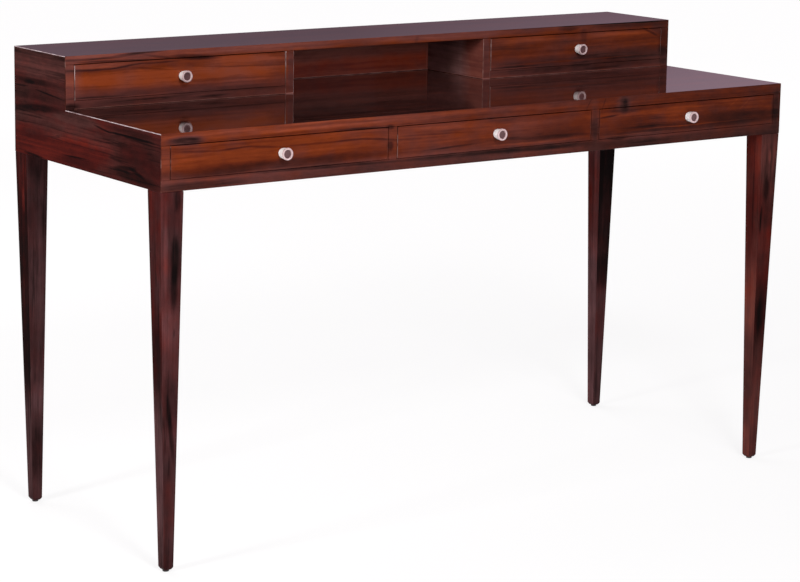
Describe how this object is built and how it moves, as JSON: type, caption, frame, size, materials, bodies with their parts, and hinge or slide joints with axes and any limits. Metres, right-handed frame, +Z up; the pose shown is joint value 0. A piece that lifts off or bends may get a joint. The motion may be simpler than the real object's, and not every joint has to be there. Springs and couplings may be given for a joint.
{
  "type": "writing desk",
  "caption": "Writing desk in glossy dark veneer on tapered square legs, with drawers under the top and a low hutch with end drawers and an open niche.",
  "frame": {"origin": "on the floor, under the middle of the desk's outline with its knobs", "axes": "+Z up, +X to the right of someone sitting at the desk, -Y towards that person"},
  "size_m": [1.4, 0.5476, 0.855],
  "materials": {
    "rosewood_veneer": "high gloss lacquer over dark streaked veneer",
    "drawer_lining": "satin",
    "polished_nickel": "polished",
    "bolt_steel": "plain zinc plate",
    "glide_plastic": "matt"
  },
  "bodies": {
    "desk": {"desk_top": "rosewood_veneer", "case_bottom": "rosewood_veneer", "case_back": "rosewood_veneer", "case_side_left": "rosewood_veneer", "case_side_right": "rosewood_veneer", "case_divider_left": "rosewood_veneer", "case_divider_right": "rosewood_veneer", "hutch_top": "rosewood_veneer", "hutch_back": "rosewood_veneer", "hutch_side_left": "rosewood_veneer", "hutch_side_right": "rosewood_veneer", "hutch_divider_left": "rosewood_veneer", "hutch_divider_right": "rosewood_veneer", "hutch_floor_left": "rosewood_veneer", "hutch_floor_right": "rosewood_veneer", "side_veneer_left": "rosewood_veneer", "side_veneer_right": "rosewood_veneer", "leg_front_left": "rosewood_veneer", "leg_front_right": "rosewood_veneer", "leg_back_left": "rosewood_veneer", "leg_back_right": "rosewood_veneer", "leg_bolt_front_left": "bolt_steel", "leg_bolt_front_right": "bolt_steel", "leg_bolt_back_left": "bolt_steel", "leg_bolt_back_right": "bolt_steel", "glide_front_left": "glide_plastic", "glide_front_right": "glide_plastic", "glide_back_left": "glide_plastic", "glide_back_right": "glide_plastic"},
    "left_drawer": {"left_drawer_front": "rosewood_veneer", "left_drawer_side_left": "drawer_lining", "left_drawer_side_right": "drawer_lining", "left_drawer_back": "drawer_lining", "left_drawer_bottom": "drawer_lining", "left_drawer_knob": "polished_nickel"},
    "middle_drawer": {"middle_drawer_front": "rosewood_veneer", "middle_drawer_side_left": "drawer_lining", "middle_drawer_side_right": "drawer_lining", "middle_drawer_back": "drawer_lining", "middle_drawer_bottom": "drawer_lining", "middle_drawer_knob": "polished_nickel"},
    "right_drawer": {"right_drawer_front": "rosewood_veneer", "right_drawer_side_left": "drawer_lining", "right_drawer_side_right": "drawer_lining", "right_drawer_back": "drawer_lining", "right_drawer_bottom": "drawer_lining", "right_drawer_knob": "polished_nickel"},
    "hutch_left_drawer": {"hutch_left_drawer_front": "rosewood_veneer", "hutch_left_drawer_side_left": "drawer_lining", "hutch_left_drawer_side_right": "drawer_lining", "hutch_left_drawer_back": "drawer_lining", "hutch_left_drawer_bottom": "drawer_lining", "hutch_left_drawer_knob": "polished_nickel"},
    "hutch_right_drawer": {"hutch_right_drawer_front": "rosewood_veneer", "hutch_right_drawer_side_left": "drawer_lining", "hutch_right_drawer_side_right": "drawer_lining", "hutch_right_drawer_back": "drawer_lining", "hutch_right_drawer_bottom": "drawer_lining", "hutch_right_drawer_knob": "polished_nickel"}
  },
  "joints": [
    {"name": "left_drawer_slide", "type": "slide", "parent": "desk", "child": "left_drawer", "axis": [0, -1, 0], "range_m": [0, 0.33]},
    {"name": "middle_drawer_slide", "type": "slide", "parent": "desk", "child": "middle_drawer", "axis": [0, -1, 0], "range_m": [0, 0.33]},
    {"name": "right_drawer_slide", "type": "slide", "parent": "desk", "child": "right_drawer", "axis": [0, -1, 0], "range_m": [0, 0.33]},
    {"name": "hutch_left_drawer_slide", "type": "slide", "parent": "desk", "child": "hutch_left_drawer", "axis": [0, -1, 0], "range_m": [0, 0.12]},
    {"name": "hutch_right_drawer_slide", "type": "slide", "parent": "desk", "child": "hutch_right_drawer", "axis": [0, -1, 0], "range_m": [0, 0.12]}
  ]
}
